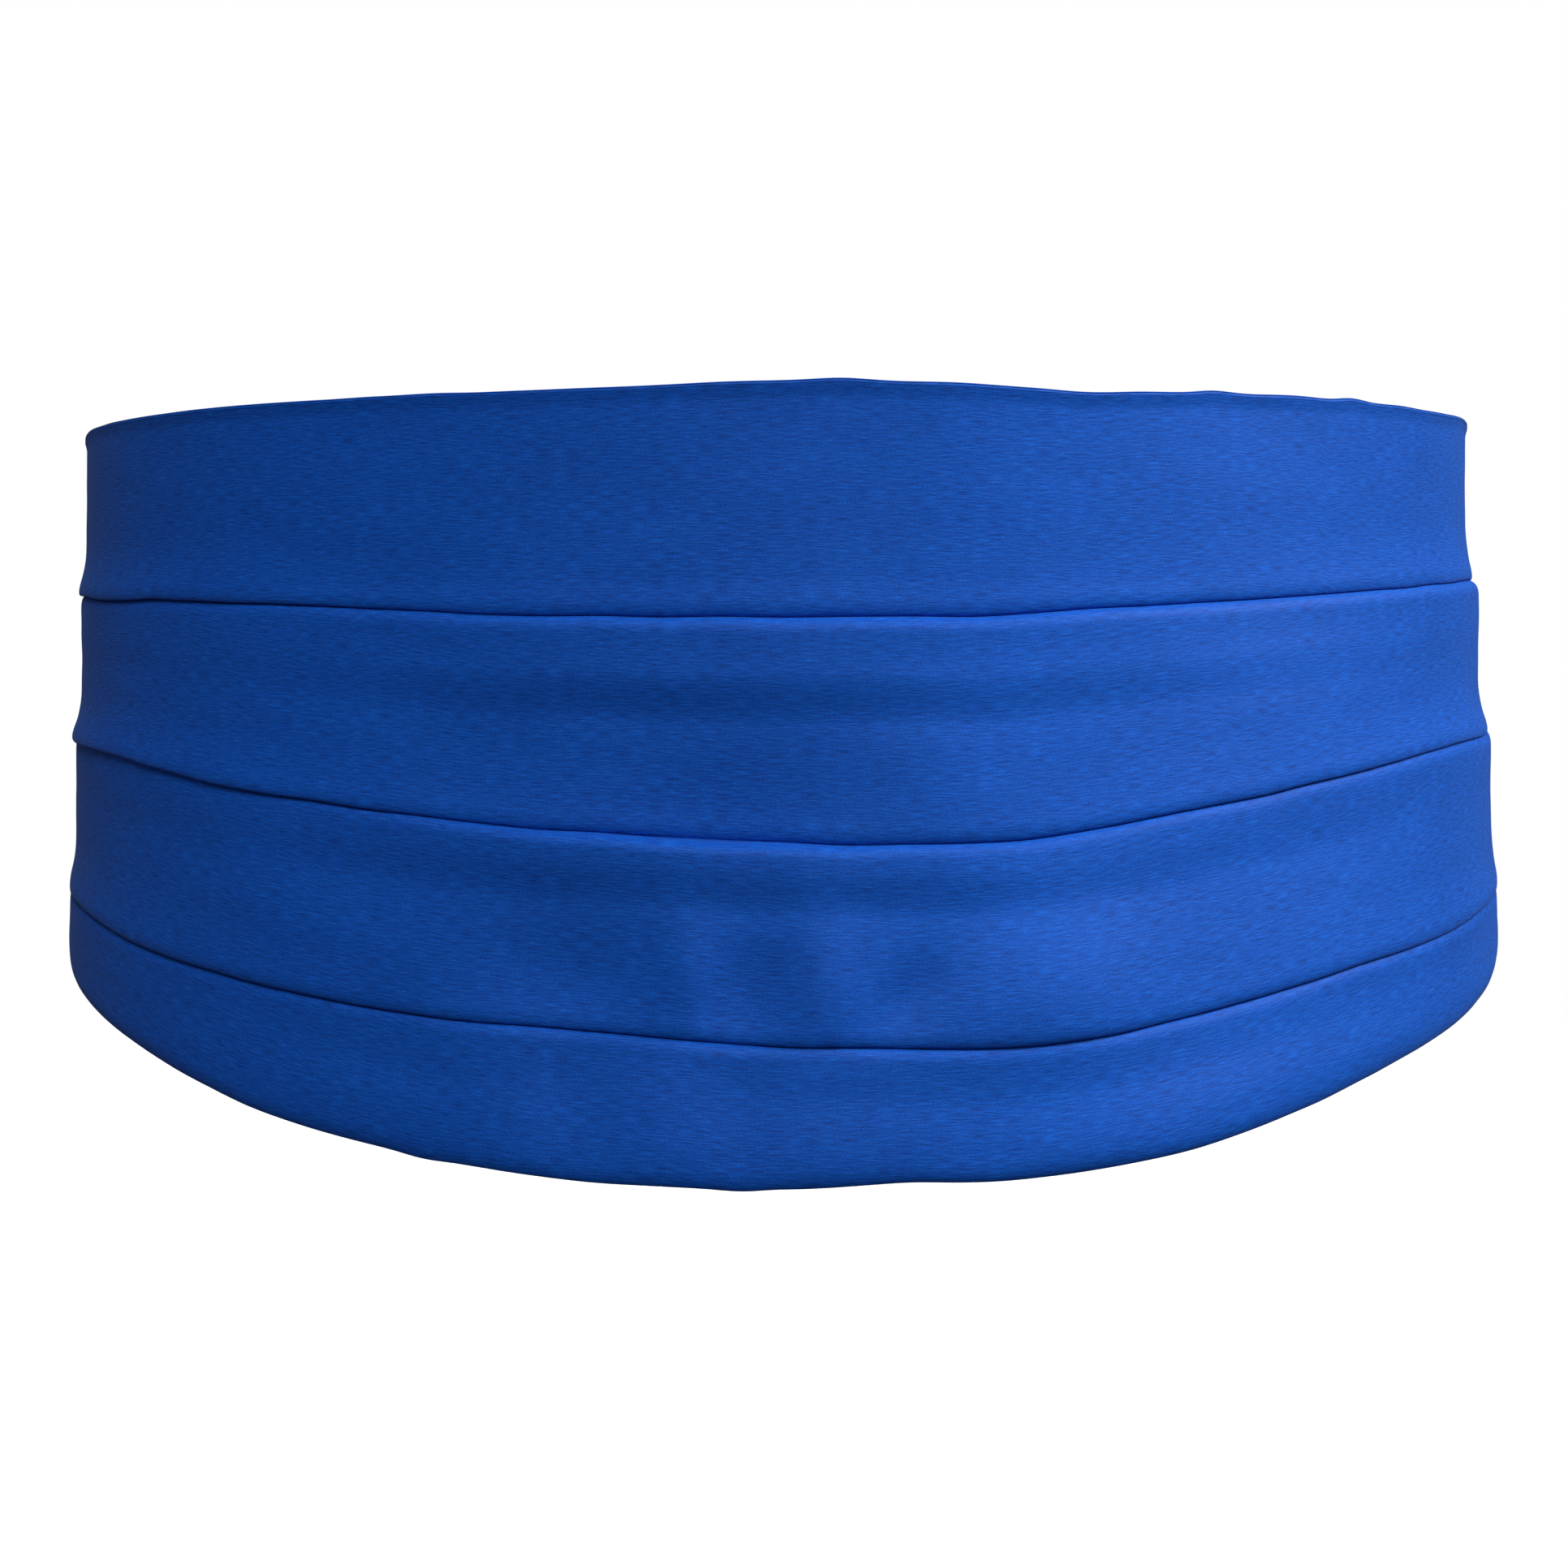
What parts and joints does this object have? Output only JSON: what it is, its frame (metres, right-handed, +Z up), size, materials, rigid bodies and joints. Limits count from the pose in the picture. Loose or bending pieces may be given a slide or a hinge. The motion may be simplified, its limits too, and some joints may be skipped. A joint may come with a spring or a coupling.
{
  "type": "cummerbund",
  "caption": "Pleated cloth cummerbund in its worn shape, a waist sash of overlapping folds with end tabs, back straps and a slotted plate at centre back",
  "frame": {"origin": "the middle of the waist loop, halfway up the front: the mount named waist, which holds the loop up and open", "axes": "+Z up along the wearer's waist, the pleated front faces -Y, +X to the right of someone looking at the front"},
  "size_m": [0.2847, 0.2251, 0.1392],
  "materials": {
    "pleat_cloth": "royal blue slubbed cloth with a soft, low sheen",
    "strap_cloth": "plain woven strap in a slightly deeper blue, matte",
    "clasp_metal": "plain satin steel plate with rounded edges"
  },
  "bodies": {
    "root": {"pleat_1": "pleat_cloth", "pleat_2": "pleat_cloth", "pleat_3": "pleat_cloth", "pleat_4": "pleat_cloth", "end_tab_left": "pleat_cloth", "end_tab_right": "pleat_cloth", "strap_left": "strap_cloth", "strap_right": "strap_cloth", "clasp": "clasp_metal"}
  },
  "joints": []
}
